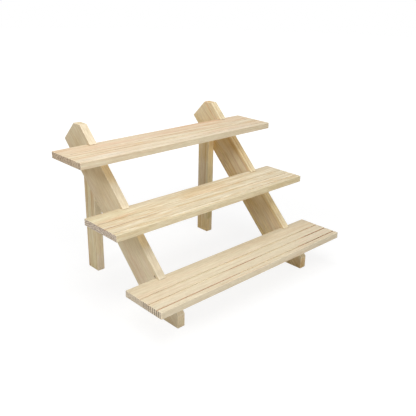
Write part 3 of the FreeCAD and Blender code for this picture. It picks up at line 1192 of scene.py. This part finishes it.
sideBoards = {
    "leftStringerBoard": {
        "node": "left_stringer", "seed": 21.0, "screws": "left",
        "look": {
            "light": tint(234, 220, 186), "pith": (-0.02, 0.06), "tilt": (2.2, 0.0),
            "spacing": 4.4 * mm, "ringDepth": 0.22, "lineDepth": 0.2, "paleDepth": 0.1,
            "streakDepth": 0.04, "speckleDepth": 0.42,
            "streaksAndPaintedLight": [
                # painted shade: warm under the top shelf, darker at the toe, and in level bands
                # under the middle and top shelves
                streak(90, 130, 0, 60, 0.6, (212, 180, 126)),
                streak(-200, 40, 0, 60, 0.6, (197, 174, 133)),
                paintedShadeAndLightBand(-27.6, 63, 0.8, (211, 191, 150), 0.2),
                paintedShadeAndLightBand(109.6, 63, 0.8, (208, 185, 140), 0.2),
                paintedShadeAndLightBand(98, 26, 0.7, (200, 168, 116)),
                # painted light and shade on the front face: an even tone, warm lighter patches
                # under the shelves, darker low down
                paintedFrontLightAndShade(0, 600, 28, 3, 0.8, (228, 215, 188), 0.1),
                paintedFrontLightAndShade(84, 38, 28, 3, 0.9, (248, 224, 176)),
                paintedFrontLightAndShade(-52, 28, 28, 3, 0.9, (238, 214, 166)),
                paintedFrontLightAndShade(-128, 16, 28, 3, 0.9, (213, 200, 174), 0.1),
                # a painted shadow in the small gap behind the bottom shelf, at the end of its slot
                streak(-123.2, 3, 20.9, 2.4, 1.0, (96, 68, 44), wander=0.0, patchy=0.0)]}},
    "rightStringerBoard": {
        "node": "right_stringer", "seed": 27.0, "screws": "right",
        "look": {
            "light": tint(234, 209, 155), "late": tint(196, 152, 88), "pith": (0.01, 0.035),
            "tilt": (2.8, 0.4), "spacing": 4.0 * mm, "ringDepth": 0.8, "lineDepth": 0.75,
            "paleDepth": 0.2, "speckleDepth": 0.5, "waver": 2.0 * mm,
            "streaksAndPaintedLight": [
                # painted shade darkening the toe
                streak(-200, 40, 0, 60, 0.4, (200, 180, 136)),
                streak(-203, 18, 12, 15, 0.8, (212, 182, 124), wander=0.0, patchy=0.3),
                # painted warm shade in level bands under the middle and top shelves
                paintedShadeAndLightBand(-31.8, 78, 1.0, (220, 187, 125)),
                paintedShadeAndLightBand(106.8, 82, 1.0, (216, 179, 111)),
                streak(-20, 230, 19.5, 1.7, 0.7, (172, 128, 76), wander=0.5),
                streak(-20, 230, 24, 2.2, 0.6, (246, 222, 172), wander=0.5),
                # more level bands of painted shade under the shelves, and a lighter painted band
                # over the crown
                paintedShadeAndLightBand(88, 24, 0.5, (210, 168, 94)),
                paintedShadeAndLightBand(-60, 24, 0.4, (214, 176, 108)),
                paintedShadeAndLightBand(178, 34, 0.8, (234, 213, 172)),
                # painted light and shade on the front face: an even tone, warm lighter patches
                # under the shelves, darker near the crown
                paintedFrontLightAndShade(0, 600, 28, 3, 0.9, (231, 216, 180), 0.15),
                paintedFrontLightAndShade(68, 50, 28, 3, 0.9, (252, 226, 174)),
                paintedFrontLightAndShade(-68, 36, 28, 3, 0.9, (246, 224, 174)),
                paintedFrontLightAndShade(140, 15, 28, 3, 0.9, (217, 201, 166)),
                streak(0, 400, -2.5, 1.3, 0.7, (196, 148, 88), wander=0.3, onEdge=True),
                streak(165, 50, 14, 3, 0.7, (224, 168, 104))]}},
    "leftLegPost": {
        "node": "left_leg", "seed": 33.0, "screws": "left",
        "look": {
            "light": tint(236, 219, 171), "pith": (0.05, 0.02), "tilt": (0.5, 0.5),
            "spacing": 4.0 * mm, "lineDepth": 0.55, "speckleDepth": 0.4,
            "streaksAndPaintedLight": [
                # painted light over the front face, stronger under the middle shelf and near the
                # floor, lifting the shade of shelves and stringer
                paintedFrontLightAndShade(0, 400, -17, 5, 0.9, (255, 238, 202), 0.65),
                paintedFrontLightAndShade(15, 30, -17, 5, 1.0, (255, 240, 206), 0.1),
                paintedFrontLightAndShade(-115, 40, -17, 5, 0.9, (255, 237, 208), 0.1)]}},
    "rightLegPost": {
        "node": "right_leg", "seed": 38.0, "screws": "right",
        "look": {
            "light": tint(232, 215, 171), "pith": (0.04, -0.02), "tilt": (0.4, 0.8),
            "spacing": 4.4 * mm, "lineDepth": 0.55, "speckleDepth": 0.4,
            "streaksAndPaintedLight": [
                # painted warm shade over the upper and the lower part of the leg
                streak(75, 40, 0, 40, 0.9, (217, 184, 124)),
                streak(-120, 45, 0, 40, 0.8, (229, 200, 136)),
                # painted light and shade on the front face
                paintedFrontLightAndShade(32, 60, -17, 5, 1.0, (252, 232, 180)),
                paintedFrontLightAndShade(-78, 16, -17, 5, 0.9, (194, 174, 118))]}},
}

places = screwPlaces()
for name, plan in sideBoards.items():
    node, seed = plan["node"], plan["seed"]
    low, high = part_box(node)
    if "stringer" in node:
        board, patch = makeStringer(name, node, seed)
        fibre, across = uphill, (0, -uphill[2], uphill[1])
    else:
        board, patch = makeLeg(name, node, seed)
        fibre, across = (0, 0, 1), (0, 1, 0)
    drill(board, [holeCutter(place, aim, patch) for place, aim in places[plan["screws"]]])
    material = woodMaterial(name + "Wood", (low + high) / 2, fibre, across, plan["look"], seed)
    dress(board, material, "frame", node)
print("stringers and legs made:", len(sideBoards))

makeScrews(places["left"] + places["right"])
print("screws set")


# floor, light and camera

stageLook = {
    "floorColour": tint(232, 232, 232),
    "skyStrength": 0.15,
    "shadeKept": 0.2,                  # how much of the shade on the floor the camera sees
    "lift": 0.06,                      # and how far the rest is raised to white
    "plainFrom": 0.35, "plainAt": 1.1,  # the floor turns plain white between these distances
    "lookAt": (0, 0, 0.12),
    "lamps": {                         # power in watts, size across, place
        "key": (7.2, 0.7, (-0.5, -0.6, 1.25)),
        "overhead": (7.4, 0.7, (0.0, 0.0, 1.5)),
        "frontFill": (6.0, 0.7, (-0.3, -1.5, 0.5)),
        "leftFill": (4.6, 0.7, (-1.5, -0.1, 0.9)),
    },
}


def seenDirectly(tree):
    # 1 for what the camera sees, also in a shiny surface
    rays = put(tree, "ShaderNodeLightPath")
    return Wire(tree, rays.outputs["Is Camera Ray"]).calc("MAXIMUM", rays.outputs["Is Glossy Ray"])


def makeFloor():
    # the camera sees the floor lifted to white, with the soft shade round the feet kept
    material = bpy.data.materials.new("paleFloor")
    tree = clearedTree(material)
    place = wire(tree, "ShaderNodeTexCoord", output="Object")
    far = vectors(tree, "LENGTH", place).ease(stageLook["plainFrom"], stageLook["plainAt"])
    kept = stageLook["shadeKept"]
    paint = wire(tree, "ShaderNodeBsdfDiffuse", {"Color": stageLook["floorColour"]})
    shade = wire(tree, "ShaderNodeBsdfDiffuse", {"Color": (kept, kept, kept, 1.0)})
    glow = wire(tree, "ShaderNodeEmission",
                {"Strength": far * kept + (1.0 - kept) + stageLook["lift"]})
    lit = wire(tree, "ShaderNodeAddShader", {0: shade, 1: glow})
    whole = wire(tree, "ShaderNodeMixShader", {0: seenDirectly(tree), 1: paint, 2: lit})
    put(tree, "ShaderNodeOutputMaterial", {"Surface": whole})
    layOut(tree)
    mesh = bpy.data.meshes.new("floor")
    sides, radius = 64, 6.0
    mesh.from_pydata([(radius * math.cos(a), radius * math.sin(a), -0.1 * mm)
                      for a in (2 * math.pi * k / sides for k in range(sides))],
                     [], [tuple(range(sides))])
    mesh.materials.append(material)
    addObject("floor", mesh)


def makeLight(name, power, size, spot):
    lamp = bpy.data.lights.new(name, "AREA")
    lamp.energy, lamp.size, lamp.shape = power, size, "DISK"
    light = addObject(name, lamp)
    light.location = spot
    aim = Vector(stageLook["lookAt"]) - Vector(spot)
    light.rotation_euler = aim.to_track_quat("-Z", "Y").to_euler()


def makeSky():
    world = bpy.data.worlds.new("softRoom")
    tree = clearedTree(world)
    dim = stageLook["skyStrength"]
    sky = wire(tree, "ShaderNodeBackground", {"Color": (1.0, 1.0, 1.0, 1.0),
               "Strength": seenDirectly(tree) * (1.0 - dim) + dim})
    put(tree, "ShaderNodeOutputWorld", {"Surface": sky})
    layOut(tree)
    bpy.context.scene.world = world


cameraView = {"place": (-0.679495, -0.748384, 0.526735), "azimuth": 43.888, "elevation": 21.518,
              "roll": -1.242, "lens": 49.599}


def makeCamera():
    camera = addObject("camera", bpy.data.cameras.new("camera"))
    camera.data.lens, camera.data.sensor_width = cameraView["lens"], 36.0
    camera.data.clip_start, camera.data.clip_end = 0.01, 50.0
    azimuth, elevation, roll = (math.radians(cameraView[key])
                                for key in ("azimuth", "elevation", "roll"))
    forward = Vector((math.sin(azimuth) * math.cos(elevation),
                      math.cos(azimuth) * math.cos(elevation), -math.sin(elevation)))
    level = Vector((math.cos(azimuth), -math.sin(azimuth), 0))
    upright = level.cross(forward)
    right = level * math.cos(roll) - upright * math.sin(roll)
    up = level * math.sin(roll) + upright * math.cos(roll)
    turn = Matrix((right, up, -forward)).transposed()
    camera.matrix_world = Matrix.Translation(cameraView["place"]) @ turn.to_4x4()
    bpy.context.scene.camera = camera


makeFloor()
for lampName, lampPlan in stageLook["lamps"].items():
    makeLight(lampName, *lampPlan)
makeSky()
makeCamera()
bpy.context.scene.view_settings.view_transform = "Standard"
print("stage set")
